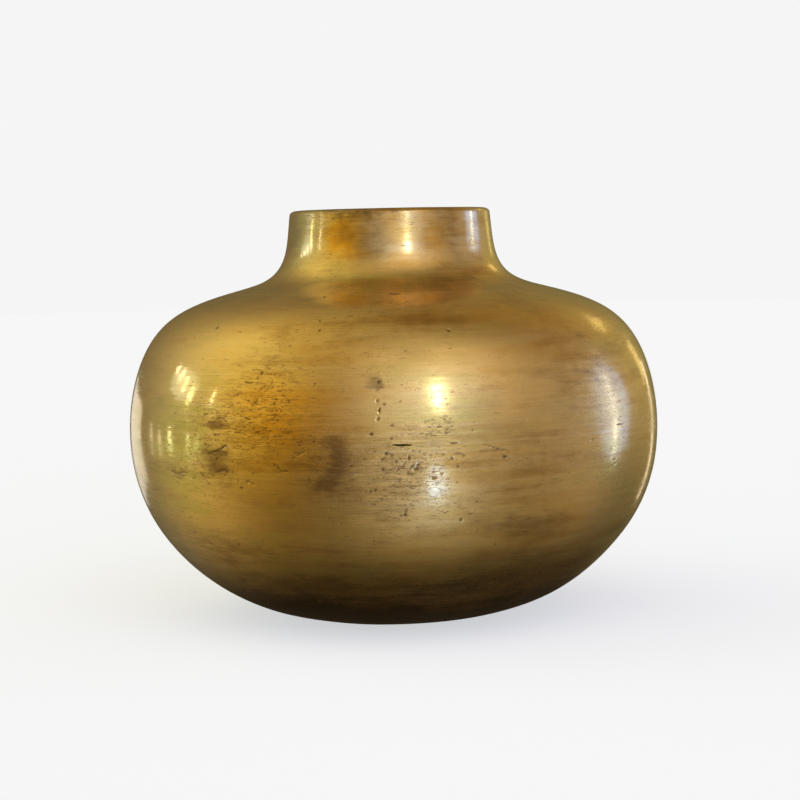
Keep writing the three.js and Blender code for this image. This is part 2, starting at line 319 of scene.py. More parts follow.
def patina(theta, z, r, inner):
    """Four values in 0..1: brown stain with painted shade and painted reflections, orange-to-olive tint that is
    partly painted reflection (0.5 is plain), how polished the metal is, and how pitted.
    """
    wt = theta + 0.010 * soft_noise(theta, z, 9, 1.2, 31)
    wz = z + 1.1 * soft_noise(theta, z, 8, 1.6, 32)
    streak = soft_noise(theta, z, 3.0, 14.0, 33)
    cloud = soft_noise(theta, z, 38, 2.2, 34)
    mottle = soft_noise(theta, z, 9, 2.4, 35)
    stain_and_shade = 0.10 + 0.09 * cloud + 0.05 * mottle + 0.05 * streak
    for a, height, wide, tall, k in STAINS_AND_SHADE:
        stain_and_shade = stain_and_shade + k * blob(wt, wz, a, height, wide, tall, 1.4)
    low = smooth((66 - z + 5 * cloud) / 60)
    # painted shade: the metal gets darker towards the foot, partly tarnish and partly the dark reflection of the
    # shaded table round it
    stain_and_shade = stain_and_shade + 0.62 * low + 0.3 * smooth((26 - z) / 24)
    tint_and_reflection = 0.5 + 0.10 * soft_noise(theta, z, 45, 1.8, 36) + 0.05 * streak
    for a, height, wide, tall, k in TINTS_AND_REFLECTIONS:
        tint_and_reflection = tint_and_reflection + k * blob(wt, wz, a, height, wide, tall, 1.2)
    shine = 0.42 + 0.16 * soft_noise(theta, z, 26, 3.0, 37) + 0.10 * streak
    for a, height, wide, tall, k in SHINES:
        shine = shine + k * blob(wt, wz, a, height, wide, tall)
    worn = 0.14 + 0.06 * cloud
    for a, height, wide, tall, k in WORN:
        worn = worn + k * blob(wt, wz, a, height, wide, tall)
    return [np.clip(v, 0, 1) for v in (stain_and_shade, tint_and_reflection, shine, worn)]


# Real stains, and some rows of painted light: (-4, 200) darkens the shoulder where it mirrors the neck, (4, 209.5)
# lightens a painted reflection under the neck's highlight, and (8, 47) and (-52, 38) lighten painted reflections low
# on the belly.
STAINS_AND_SHADE = [  # angle, height, half widths in degrees and mm, strength
    (-11.0, 115.5, 2.6, 9.5, 0.60), (-12.4, 96.5, 3.8, 8.0, 0.50), (-14.6, 95.5, 3.4, 4.8, 0.24), (-11.4, 104.0, 2.4, 7.0, 0.26), (-13.4, 121.0, 2.4, 3.4, 0.2),
    (-37.5, 103.0, 3.8, 12.5, 0.22), (-37.4, 129.0, 3.2, 2.6, 0.95), (-37.4, 113.6, 3.4, 2.6, 1.05), (-37.0, 102.0, 3.2, 2.4, 0.85),
    (-37.5, 107.5, 3.4, 4.5, 0.35), (-51.0, 99.0, 3.5, 3.0, 0.35), (2.6, 106.0, 4.5, 7.0, 0.16), (-2.5, 98.0, 3.5, 3.0, 0.22),
    (-3.2, 149.5, 1.7, 3.7, 0.60), (4.0, 185.0, 12.0, 6.5, 0.26), (27.0, 185.0, 8.0, 5.5, -0.12), (-21.0, 186.0, 13.0, 4.5, -0.12),
    (-52.0, 38.0, 13.0, 15.0, -0.38), (31.0, 68.0, 10.0, 9.0, 0.42), (-9.0, 171.0, 8.0, 6.0, 0.24), (8.0, 47.0, 6.0, 11.0, -0.42), (-11.0, 55.0, 6.0, 8.0, 0.20),
    (-9.5, 222.0, 9.0, 11.0, 0.18), (-24.0, 244.5, 26.0, 3.2, 0.55), (-60.0, 232.0, 24.0, 16.0, 0.16), (8.0, 246.0, 14.0, 2.5, 0.3),
    (26.0, 206.0, 15.0, 7.0, 0.22), (-4.0, 200.0, 30.0, 5.5, 0.18), (-15.0, 191.5, 30.0, 3.5, 0.08), (-17.0, 201.0, 8.0, 5.0, 0.16), (-24.0, 235.0, 9.0, 9.0, 0.30), (46.0, 232.0, 9.0, 12.0, 0.18),
    (-50.0, 199.0, 9.0, 5.0, 0.22), (14.0, 200.5, 12.0, 4.5, 0.12),
    (-36.0, 202.0, 8.0, 5.0, -0.2), (34.0, 229.0, 7.0, 11.0, 0.24), (4.0, 209.5, 8.0, 3.5, -0.14),
    (150.0, 120.0, 12.0, 20.0, 0.3), (210.0, 90.0, 10.0, 16.0, 0.35), (255.0, 140.0, 9.0, 14.0, 0.3), (100.0, 95.0, 8.0, 12.0, 0.25),
    (180.0, 180.0, 16.0, 8.0, 0.25),
]
# Tints of the metal, partly tarnish and partly painted reflections of the coloured room: the orange patches on the
# left of the belly and on the neck, and the olive to their left.
TINTS_AND_REFLECTIONS = [  # angle, height, half widths in degrees and mm, towards orange (+) or olive (-)
    (-24.0, 138.0, 11.0, 14.0, 0.50), (-8.0, 203.0, 34.0, 7.0, -0.30), (-25.0, 118.0, 12.0, 16.0, 0.12), (-47.0, 112.0, 12.0, 34.0, -0.42),
    (-62.0, 90.0, 20.0, 40.0, -0.3), (-28.5, 229.0, 8.5, 9.0, 0.75), (-64.0, 232.0, 26.0, 18.0, -0.18), (22.0, 140.0, 8.0, 30.0, 0.08), (52.0, 80.0, 10.0, 40.0, -0.12),
    (62.0, 165.0, 12.0, 12.0, -0.25), (30.0, 70.0, 20.0, 20.0, -0.1), (5.0, 160.0, 12.0, 12.0, -0.08), (4.0, 184.0, 16.0, 7.0, 0.38), (-9.0, 170.0, 9.0, 8.0, 0.34), (38.0, 161.0, 10.0, 12.0, 0.34),
    (140.0, 140.0, 16.0, 20.0, 0.3), (200.0, 120.0, 18.0, 30.0, -0.3), (262.0, 150.0, 12.0, 14.0, 0.2),
]

SHINES = [  # angle, height, half widths in degrees and mm, more polished (+) or less (-)
    (-52.0, 120.0, 20.0, 40.0, 0.40), (68.0, 130.0, 16.0, 45.0, 0.12), (-66.0, 230.0, 26.0, 22.0, 0.35), (6.0, 230.0, 30.0, 22.0, -0.30),
    (60.0, 230.0, 24.0, 20.0, -0.10), (230.0, 120.0, 30.0, 40.0, 0.25),
]
WORN = [  # angle, height, half widths in degrees and mm, strength
    (-42.0, 92.0, 12.0, 14.0, 0.30), (-7.0, 163.0, 12.0, 11.0, 0.22), (10.0, 186.0, 20.0, 7.0, 0.25), (-30.0, 228.0, 14.0, 14.0, 0.20),
    (-25.0, 143.0, 12.0, 22.0, 0.75), (-27.0, 121.0, 12.0, 16.0, 0.6), (1.0, 106.0, 9.0, 18.0, 0.60), (8.0, 127.0, 7.0, 6.0, 0.5),
    (-13.0, 108.0, 8.0, 18.0, 0.5), (-39.0, 112.0, 7.0, 22.0, 0.6), (-42.0, 133.0, 8.0, 11.0, 0.45), (-33.0, 154.0, 12.0, 7.0, 0.22), (-49.0, 101.0, 7.0, 7.0, 0.4), (-2.0, 84.0, 16.0, 14.0, 0.25), (20.0, 113.0, 8.0, 8.0, 0.2),
    (-4.0, 150.0, 6.0, 12.0, 0.25), (-10.0, 182.0, 14.0, 8.0, 0.25), (-20.0, 243.0, 28.0, 6.0, 0.6), (40.0, 100.0, 14.0, 16.0, 0.15),
    (130.0, 112.0, 16.0, 20.0, 0.6), (165.0, 128.0, 12.0, 16.0, 0.5), (215.0, 100.0, 18.0, 22.0, 0.6), (262.0, 122.0, 14.0, 18.0, 0.5),
    (95.0, 135.0, 12.0, 14.0, 0.3), (200.0, 230.0, 30.0, 14.0, 0.4), (180.0, 60.0, 50.0, 20.0, 0.2),
]

# ------------------------------------------------------------------ meshes of revolution from rings
# Columns are close together where there are flaws: all over the front, and at a few places behind.
steps = [-44.0]
while steps[-1] < 316 - 1e-6:
    a = steps[-1]
    if a < 28:
        step = 0.25
    elif a < 60 or a >= 300:
        step = 0.5
    else:
        near_flaw = any(low <= a < high for low, high in ((96, 101), (141, 148), (164, 169), (183, 188), (203, 207), (221, 228), (250, 255)))
        step = 1 / 3 if near_flaw else 1.0
    steps.append(round(a + step, 6))
steps.pop()
FINE = np.radians(np.array(steps))
HALF = FINE[::2]
ROUGH = np.radians(np.arange(-44, 316, 2.5))


class Rings:
    """Rings of points round the axis, joined one after another into one closed skin."""

    def __init__(self):
        self.points, self.data, self.rings, self.faces = [], [], [], []
        self.count = 0

    def ring(self, theta, r, z, stain_and_shade, tint_and_reflection, shine, worn, dirt, inner):
        x, y = r * np.sin(theta), -r * np.cos(theta)
        self.points.append(np.stack([x, y, z], 1))
        self.data.append(np.stack([stain_and_shade, tint_and_reflection, shine, worn, dirt, inner], 1))
        self.rings.append((self.count, theta))
        self.count += len(theta)

    def join(self, i, j):
        a0, ta = self.rings[i]
        b0, tb = self.rings[j]
        na, nb = len(ta), len(tb)
        if na == nb:
            k = np.arange(na)
            n = (k + 1) % na
            self.faces += np.stack([a0 + k, a0 + n, b0 + n, b0 + k], 1).tolist()
            return
        # rings of different counts are zipped by angle
        a = b = 0
        ea = np.append(ta, ta[0] + 2 * math.pi)
        eb = np.append(tb, tb[0] + 2 * math.pi)
        while a < na or b < nb:
            if b >= nb or (a < na and ea[a + 1] <= eb[b + 1]):
                self.faces.append([a0 + a, a0 + (a + 1) % na, b0 + b % nb])
                a += 1
            else:
                self.faces.append([a0 + a % na, b0 + (b + 1) % nb, b0 + b])
                b += 1

    def cap(self, i, z, values, up):
        """Closes ring i with a point on the axis."""
        a0, ta = self.rings[i]
        self.points.append(np.array([[0.0, 0.0, z]]))
        self.data.append(np.array([values]))
        c = self.count
        self.count += 1
        n = len(ta)
        for k in range(n):
            f = [a0 + k, a0 + (k + 1) % n, c]
            self.faces.append(f if up else f[::-1])


def section_ring(rings, columns, r, z, s, out, inner, flawed):
    """One ring at a section point (r, z), moved out of true along the outer surface's normal at s."""
    theta = columns
    rr, zz = np.full(len(theta), float(r)), np.full(len(theta), float(z))
    n = normal_at(np.array(s))
    shift = uneven(theta, np.full(len(theta), float(s)))
    dirt = np.zeros(len(theta))
    if flawed:
        depth, dirt = flaws(theta, rr, zz)
        shift = shift - depth * out
    stain_and_shade, tint_and_reflection, shine, worn = patina(theta, zz, rr, inner)
    rr = rr + n[0] * shift
    zz = np.maximum(zz + n[1] * shift, 0.0)
    rings.ring(theta, rr, zz, stain_and_shade, tint_and_reflection, shine, worn, dirt, np.full(len(theta), float(inner)))


def build(name, section, axis_ends=None):
    """A closed skin from section points (columns, r, z, s, out, inner, flawed), in order. axis_ends holds the axis heights of an open section."""
    rings = Rings()
    for p in section:
        section_ring(rings, *p)
    n = len(section)
    for i in range(n - 1):
        rings.join(i, i + 1)
    if axis_ends is None:
        rings.join(n - 1, 0)
    else:
        first, last = axis_ends
        rings.cap(0, first, [0.6, 0.5, 0.3, 0.2, 0.3, 0.0], False)
        rings.cap(n - 1, last, [0.5, 0.5, 0.3, 0.2, 0.2, 1.0], True)
    pts = np.concatenate(rings.points) * MM
    mesh = bpy.data.meshes.new(name)
    mesh.from_pydata(pts.tolist(), [], rings.faces)
    mesh.update()
    # faces point out
    volume = 0.0
    tri = np.array([f[:3] for f in rings.faces])
    a, b, c = pts[tri[:, 0]], pts[tri[:, 1]], pts[tri[:, 2]]
    volume = float(np.einsum("ij,ij->i", a, np.cross(b, c)).sum())
    if volume < 0:
        mesh.flip_normals()
    data = np.concatenate(rings.data).astype(np.float32)
    for i, key in enumerate(("stain_and_shade", "tint_and_reflection", "shine", "worn", "dirt", "inner")):
        attribute = mesh.attributes.new(key, "FLOAT", "POINT")
        attribute.data.foreach_set("value", np.ascontiguousarray(data[:, i]))
    mesh.shade_smooth()
    mesh.set_sharp_from_angle(angle=math.radians(38))
    piece = bpy.data.objects.new(name, mesh)
    bpy.context.scene.collection.objects.link(piece)
    return piece


def outer_rows(low, high, step, fine=()):
    """Arc positions from low to high, step apart, and closer where fine says: (centre, reach, step)."""
    marks = [low]
    while marks[-1] < high - 1e-6:
        here = step
        for centre, reach, close in fine:
            gap = abs(marks[-1] - centre)
            if gap < reach:
                here = min(here, close)
            elif gap < reach + 4:
                here = min(here, close + (step - close) * (gap - reach) / 4)
        marks.append(min(marks[-1] + here, high))
    if len(marks) > 2 and marks[-1] - marks[-2] < 0.3 * step:
        marks.pop(-2)
    return marks


def surface(rows, columns, depth=0.0, inner=0.0, flawed=True, out=1.0):
    points = []
    for s in rows:
        d = float(wall(np.array(s))) if depth == "wall" else depth
        p, n = at(s), normal_at(np.array(s))
        points.append((columns, p[0] - n[0] * d, p[1] - n[1] * d, s, out, inner, flawed))
    return points


def lap(s, depth, columns, inner=0.6):
    p, n = at(s), normal_at(np.array(s))
    return (columns, p[0] - n[0] * depth, p[1] - n[1] * depth, s, 0.0, inner, False)


S_FOOT = 0.0
bowl_rows = outer_rows(S_FOOT, S_BELLY_LOW, 2.0, [(s_at_height(26), 4.5, 0.75), (s_at_height(98), 19.5, 0.84), (s_at_height(78), 6.0, 0.9), (S_BELLY_LOW, 2.0, 0.3)])
foot_rows = [s for s in bowl_rows if s < 52]
upper_rows = [s for s in bowl_rows if s >= 52]
bowl = build(
    "bowl_shell",
    [(HALF, 6.0, DISH_RISE * 0.98, 0.0, 0.0, 0.0, False), (HALF, 16.0, DISH_RISE * 0.82, 0.0, 0.0, 0.0, False),
     (HALF, 22.0, DISH_RISE * 0.5, 0.0, 0.0, 0.0, False), (HALF, 26.0, DISH_RISE * 0.25, 0.0, 0.0, 0.0, False),
     (HALF, 28.5, 0.12, 0.0, 0.0, 0.0, False), (HALF, FOOT_INNER_R, 0.0, 0.0, 0.0, 0.0, False), (HALF, 40.0, 0.0, 0.0, 0.0, 0.0, False)]
    + surface(foot_rows, HALF)
    + surface(upper_rows, FINE)
    + [lap(S_BELLY_LOW, FILM_OUT, HALF), lap(S_POCKET, FILM_OUT, ROUGH), lap(S_POCKET, WALL_SEAM, ROUGH)]
    + surface(np.linspace(S_POCKET, 4.0, 60)[1:], ROUGH, "wall", 1.0, False)
    + [(ROUGH, 40.0, WALL_BASE, 0.0, 0.0, 1.0, False), (ROUGH, FOOT_INNER_R + 2, WALL_BASE + 0.08, 0.0, 0.0, 1.0, False),
       (ROUGH, 24.0, WALL_BASE + DISH_RISE * 0.35, 0.0, 0.0, 1.0, False), (ROUGH, 16.0, WALL_BASE + DISH_RISE * 0.7, 0.0, 0.0, 1.0, False),
       (ROUGH, 6.0, WALL_BASE + DISH_RISE * 0.97, 0.0, 0.0, 1.0, False)],
    axis_ends=(DISH_RISE, WALL_BASE + DISH_RISE),
)

shoulder_rows = outer_rows(S_BELLY_TOP, S_COLLAR_OUT, 1.3, [((S_BELLY_TOP + s_at_height(156)) / 2, 20.0, 0.8), (s_at_height(177), 4.0, 0.8), (S_BELLY_TOP, 2.5, 0.3), (S_COLLAR_OUT, 1.5, 0.3)])
shoulder = build(
    "shoulder_shell",
    surface(shoulder_rows, FINE)
    + [lap(S_COLLAR_OUT, FILM_IN, HALF), lap(S_SH_TONGUE, FILM_IN, ROUGH), lap(S_SH_TONGUE, WALL_SEAM, ROUGH)]
    + surface(np.linspace(S_COLLAR_OUT, S_BELLY_TOP, 46), ROUGH, "wall", 1.0, False)
    + [lap(S_TONGUE, WALL_SEAM, ROUGH, 1.0), lap(S_TONGUE, FILM_IN, ROUGH), lap(S_BELLY_TOP, FILM_IN, HALF)],
)

collar_rows = outer_rows(S_COLLAR_IN, LENGTH, 1.1, [(S_COLLAR_IN, 1.5, 0.3)])
lip_r, lip_z = at(LENGTH)
lip = []
for i in range(1, 13):
    a = i / 12 * math.pi / 2
    lip.append((FINE, LIP_CREST_OUTER_R + (lip_r - LIP_CREST_OUTER_R) * math.cos(a), lip_z + (HEIGHT - lip_z) * math.sin(a), LENGTH, 0.0, 0.0, False))
lip.append((HALF, (LIP_CREST_OUTER_R + LIP_CREST_INNER_R) / 2, HEIGHT, LENGTH, 0.0, 0.0, False))
bead = LIP_CREST_INNER_R - LIP_INNER_R
for i in range(0, 7):
    a = i / 6 * math.pi / 2
    lip.append((HALF, LIP_CREST_INNER_R - bead * math.sin(a), HEIGHT - bead * (1 - math.cos(a)), LENGTH, 0.0, 0.15 * i / 6, False))
S_COVE = s_at_height(HEIGHT - LIP_DEPTH - LIP_BLEND)
cove_p, cove_n = at(S_COVE), normal_at(np.array(S_COVE))
cove_r, cove_z = cove_p[0] - cove_n[0] * WALL_COLLAR, cove_p[1] - cove_n[1] * WALL_COLLAR
for z in (HEIGHT - bead - 1.2, HEIGHT - bead - 2.6, HEIGHT - LIP_DEPTH + 0.8, HEIGHT - LIP_DEPTH):
    lip.append((HALF, LIP_INNER_R, z, LENGTH, 0.0, 0.4, False))
for i in range(1, 12):
    t = i / 12
    lip.append((HALF, LIP_INNER_R + (cove_r - LIP_INNER_R) * float(smooth(t)), HEIGHT - LIP_DEPTH - (HEIGHT - LIP_DEPTH - cove_z) * t, LENGTH, 0.0, 0.6 + 0.4 * t, False))
collar = build(
    "collar_shell",
    surface(collar_rows, FINE)
    + lip
    + surface(np.linspace(S_COVE, S_SH_POCKET, 44), ROUGH, "wall", 1.0, False)
    + [lap(S_SH_POCKET, FILM_OUT, ROUGH), lap(S_COLLAR_IN, FILM_OUT, HALF)],
)


def braze(name, loop):
    return build(name, loop)


belly_ring = braze(
    "belly_braze",
    surface(np.linspace(S_BELLY_LOW, S_BELLY_TOP, 4), FINE)
    + [lap(S_BELLY_TOP, FILM_IN, HALF), lap(S_TONGUE, FILM_IN, ROUGH), lap(S_TONGUE, WALL_SEAM, ROUGH),
       lap(S_POCKET, WALL_SEAM, ROUGH), lap(S_POCKET, FILM_OUT, ROUGH), lap(S_BELLY_LOW, FILM_OUT, HALF)],
)
collar_ring = braze(
    "collar_braze",
    surface(np.linspace(S_COLLAR_OUT, S_COLLAR_IN, 4), FINE)
    + [lap(S_COLLAR_IN, FILM_OUT, HALF), lap(S_SH_POCKET, FILM_OUT, ROUGH), lap(S_SH_POCKET, WALL_SEAM, ROUGH),
       lap(S_SH_TONGUE, WALL_SEAM, ROUGH), lap(S_SH_TONGUE, FILM_IN, ROUGH), lap(S_COLLAR_OUT, FILM_IN, HALF)],
)


# ------------------------------------------------------------------ old brass
class Nodes:
    def __init__(self, tree):
        self.tree = tree

    def new(self, kind, **settings):
        node = self.tree.nodes.new(kind)
        for key, value in settings.items():
            setattr(node, key, value)
        return node

    def link(self, a, b):
        self.tree.links.new(a, b)

    def put(self, value, socket):
        if isinstance(value, bpy.types.NodeSocket):
            self.link(value, socket)
        else:
            socket.default_value = value

    def math(self, operation, a, b=0.0, c=0.0, clamp=False):
        node = self.new("ShaderNodeMath", operation=operation, use_clamp=clamp)
        for i, v in enumerate((a, b, c)):
            if i < len(node.inputs):
                self.put(v, node.inputs[i])
        return node.outputs[0]

    def vector(self, operation, a, b):
        node = self.new("ShaderNodeVectorMath", operation=operation)
        self.put(a, node.inputs[0])
        self.put(b, node.inputs[1])
        return node.outputs[0]

    def noise(self, at_vector, scale=1.0, detail=3.0, roughness=0.55, distortion=0.0):
        node = self.new("ShaderNodeTexNoise")
        self.put(at_vector, node.inputs["Vector"])
        node.inputs["Scale"].default_value = scale
        node.inputs["Detail"].default_value = detail
        node.inputs["Roughness"].default_value = roughness
        node.inputs["Distortion"].default_value = distortion
        return node.outputs["Fac"]

    def span(self, value, low, high, to_low=0.0, to_high=1.0, clamp=True):
        node = self.new("ShaderNodeMapRange")
        node.clamp = clamp
        self.put(value, node.inputs["Value"])
        node.inputs["From Min"].default_value = low
        node.inputs["From Max"].default_value = high
        node.inputs["To Min"].default_value = to_low
        node.inputs["To Max"].default_value = to_high
        return node.outputs[0]

    def mix(self, share, a, b, blend="MIX"):
        node = self.new("ShaderNodeMix", data_type="RGBA", blend_type=blend)
        self.put(share, node.inputs[0])
        for value, socket in ((a, node.inputs[6]), (b, node.inputs[7])):
            if isinstance(value, tuple):
                value = (*value, 1.0) if len(value) == 3 else value
            self.put(value, socket)
        return node.outputs[2]

    def attribute(self, name):
        node = self.new("ShaderNodeAttribute", attribute_type="GEOMETRY", attribute_name=name)
        return node.outputs["Fac"]


GOLD = (0.740, 0.490, 0.160)
PALE = (0.840, 0.640, 0.330)
ORANGE = (0.640, 0.330, 0.040)
OLIVE = (0.480, 0.390, 0.085)
# brown of stains and scratches, also used for the painted shade towards the foot
STAIN_AND_SHADE_BROWN = (0.225, 0.125, 0.040)
DIRT = (0.125, 0.062, 0.018)
MARK = (0.190, 0.088, 0.018)
# near black brown of the underside, partly tarnish and partly painted shade from the dark table it mirrors
UNDER_TARNISH_AND_SHADE = (0.086, 0.068, 0.032)
INSIDE = (0.200, 0.130, 0.055)


def brass(name, gold=GOLD):
    material = bpy.data.materials.new(name)
    material.use_nodes = True
    tree = material.node_tree
    tree.nodes.clear()
    n = Nodes(tree)
    place = n.new("ShaderNodeTexCoord").outputs["Object"]
    stain_and_shade, tint_and_reflection, shine, worn = (n.attribute(k) for k in ("stain_and_shade", "tint_and_reflection", "shine", "worn"))
    dirt, inner = n.attribute("dirt"), n.attribute("inner")

    # turning and rubbing marks run round the pot, so their noise is long round it and short along it
    hair = n.noise(n.vector("MULTIPLY", place, (34.0, 34.0, 1500.0)), 1.0, 4.0, 0.62)
    line = n.noise(n.vector("MULTIPLY", place, (20.0, 20.0, 420.0)), 1.0, 4.0, 0.6)
    band = n.noise(n.vector("MULTIPLY", place, (7.0, 7.0, 95.0)), 1.0, 3.0, 0.55)
    mottle = n.noise(n.vector("MULTIPLY", place, (120.0, 120.0, 230.0)), 1.0, 5.0, 0.62)
    cloud = n.noise(n.vector("MULTIPLY", place, (30.0, 30.0, 60.0)), 1.0, 5.0, 0.62)

    # brown dashes of old scratches and cold shuts, thickest where the metal is most pitted
    dash = n.noise(n.vector("MULTIPLY", place, (210.0, 210.0, 980.0)), 1.0, 5.0, 0.66, 0.9)
    patch = n.noise(n.vector("MULTIPLY", place, (95.0, 95.0, 300.0)), 1.0, 6.0, 0.72, 0.8)
    reach = n.span(worn, 0.0, 1.0, 0.075, -0.045)
    dash = n.span(n.math("SUBTRACT", dash, reach), 0.555, 0.665)
    patch = n.span(n.math("SUBTRACT", patch, reach), 0.53, 0.70)
    # small dark casting pores
    cells = n.new("ShaderNodeTexVoronoi", feature="F1")
    n.link(n.vector("MULTIPLY", place, (430.0, 430.0, 720.0)), cells.inputs["Vector"])
    chosen = n.new("ShaderNodeSeparateColor")
    n.link(cells.outputs["Color"], chosen.inputs[0])
    some = n.span(n.math("ADD", chosen.outputs[0], n.math("MULTIPLY", worn, 0.22)), 0.97, 1.02)
    size = n.span(chosen.outputs[1], 0.0, 1.0, 0.16, 0.40)
    pore = n.math("MULTIPLY", n.span(n.math("DIVIDE", cells.outputs["Distance"], size), 1.15, 0.5), some)
    outside = n.span(inner, 0.2, 0.0)
    mark = n.math("MAXIMUM", n.math("MULTIPLY", dash, 0.85), n.math("MULTIPLY", patch, 0.45))
    mark = n.math("MULTIPLY", n.math("MAXIMUM", mark, n.math("MULTIPLY", pore, 0.8)), outside)

    # colour
    # orange and olive tints, partly painted reflections of the coloured room
    hue = n.math("ADD", tint_and_reflection, n.math("MULTIPLY", n.math("SUBTRACT", cloud, 0.5), 0.55))
    hue = n.math("ADD", hue, n.math("MULTIPLY", n.math("SUBTRACT", mottle, 0.5), 0.30))
    colour = n.mix(n.span(hue, 0.5, 1.0), n.mix(n.span(hue, 0.5, 0.0), gold, OLIVE), ORANGE)
    contrast = n.span(worn, 0.1, 0.7, 0.36, 1.35)
    colour = n.mix(n.math("MULTIPLY", n.span(line, 0.46, 0.70, 0.0, 0.26), contrast), colour, PALE)
    colour = n.mix(n.math("MULTIPLY", n.span(hair, 0.56, 0.34, 0.0, 0.22), contrast), colour, STAIN_AND_SHADE_BROWN)
    uneven = n.math("MULTIPLY", n.math("SUBTRACT", mottle, 0.5), 0.75)
    uneven = n.math("ADD", uneven, n.math("MULTIPLY", n.math("SUBTRACT", band, 0.5), 0.22))
    uneven = n.math("ADD", uneven, n.math("MULTIPLY", n.math("SUBTRACT", cloud, 0.5), 0.45))
    spots = n.math("ADD", stain_and_shade, n.math("MULTIPLY", uneven, contrast))
    # the edges of a stain break up into short level streaks and specks
    streak = n.noise(n.vector("MULTIPLY", place, (75.0, 75.0, 560.0)), 1.0, 5.0, 0.68)
    edge = n.math("MULTIPLY", n.math("MULTIPLY", stain_and_shade, n.math("SUBTRACT", 1.0, stain_and_shade)), 4.4)
    spots = n.math("ADD", spots, n.math("MULTIPLY", edge, n.math("MULTIPLY", n.math("SUBTRACT", streak, 0.5), n.span(stain_and_shade, 0.15, 0.35, 0.0, 1.0))))
    # stains, with the painted shade towards the foot and the painted reflections in the stain values, turn the metal
    # brown
    colour = n.mix(n.span(spots, 0.10, 0.85, 0.0, 0.88), colour, STAIN_AND_SHADE_BROWN)
    colour = n.mix(n.span(inner, 0.0, 1.0, 0.0, 0.85), colour, INSIDE)
    height_now = n.new("ShaderNodeSeparateXYZ")
    n.link(place, height_now.inputs[0])
    neck = n.math("MULTIPLY", n.span(height_now.outputs[2], 0.210, 0.224), n.span(tint_and_reflection, 0.85, 0.55))
    colour = n.mix(neck, colour, n.mix(1.0, colour, (0.90, 0.97, 1.32, 1.0), "MULTIPLY"))
    # painted shade: towards the foot the stained metal goes near black brown, partly tarnish and partly the dark
    # table it mirrors
    low = n.math("ADD", height_now.outputs[2], n.math("MULTIPLY", n.math("SUBTRACT", cloud, 0.5), 0.03))
    colour = n.mix(n.math("MULTIPLY", n.math("MULTIPLY", n.span(low, 0.050, 0.004, 0.0, 0.9), n.span(stain_and_shade, 0.30, 0.70)), n.span(inner, 0.2, 0.0)), colour, UNDER_TARNISH_AND_SHADE)
    colour = n.mix(n.math("MULTIPLY", mark, 0.92), colour, MARK)
    colour = n.mix(n.span(dirt, -0.15, -0.95, 0.0, 0.42), colour, gold)
    pit = n.span(dirt, 0.05, 0.85, 0.0, 0.92)
    colour = n.mix(pit, colour, DIRT)
    grime = n.math("MAXIMUM", mark, pit)

    # gloss: rubbed metal with duller stain
    rough = n.math("ADD", n.span(shine, 0.0, 1.0, 0.24, 0.07), n.span(hair, 0.3, 0.7, -0.03, 0.04))
    rough = n.math("ADD", rough, n.span(stain_and_shade, 0.1, 0.9, 0.0, 0.14))
    rough = n.math("ADD", rough, n.span(mottle, 0.3, 0.7, -0.03, 0.04))
    rough = n.math("ADD", rough, n.math("MULTIPLY", grime, 0.30))
    rough = n.math("ADD", rough, n.math("MULTIPLY", inner, 0.22), clamp=True)

    # relief in metres: marks of a few micrometres, and pores
    height = n.math("MULTIPLY", n.math("SUBTRACT", hair, 0.5), 5.0e-6)
    height = n.math("ADD", height, n.math("MULTIPLY", n.math("SUBTRACT", line, 0.5), 18.0e-6))
    height = n.math("ADD", height, n.math("MULTIPLY", n.math("SUBTRACT", band, 0.5), 40.0e-6))
    height = n.math("ADD", height, n.math("MULTIPLY", n.math("SUBTRACT", mottle, 0.5), 16.0e-6))
    height = n.math("SUBTRACT", height, n.math("MULTIPLY", mark, 40.0e-6))
    bump = n.new("ShaderNodeBump")
    bump.inputs["Strength"].default_value = 1.0
    bump.inputs["Distance"].default_value = 1.0
    n.link(height, bump.inputs["Height"])

    shader = n.new("ShaderNodeBsdfPrincipled")
    n.link(colour, shader.inputs["Base Color"])
    n.link(rough, shader.inputs["Roughness"])
    n.link(bump.outputs[0], shader.inputs["Normal"])
    shader.inputs["Metallic"].default_value = 1.0
    shader.inputs["Anisotropic"].default_value = 0.5
    shader.inputs["Anisotropic Rotation"].default_value = 0.25
    shader.inputs["Coat Weight"].default_value = 0.35
    shader.inputs["Coat Roughness"].default_value = 0.10
    around = n.new("ShaderNodeTangent", direction_type="RADIAL", axis="Z")
    n.link(around.outputs[0], shader.inputs["Tangent"])
    out = n.new("ShaderNodeOutputMaterial")
    n.link(shader.outputs[0], out.inputs["Surface"])
    return material


for piece, node, slot_name, material in (
    (bowl, "bowl", "bowl_brass", brass("bowl_brass")),
    (shoulder, "shoulder", "shoulder_brass", brass("shoulder_brass")),
    (collar, "collar", "collar_brass", brass("collar_brass")),
    (belly_ring, "belly_braze_ring", "braze", brass("braze", (0.76, 0.55, 0.24))),
    (collar_ring, "collar_braze_ring", "braze", None),
):
    if material is None:
        material = bpy.data.materials["braze"]
    piece.data.materials.append(material)
    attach(piece, "root")
    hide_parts(node)

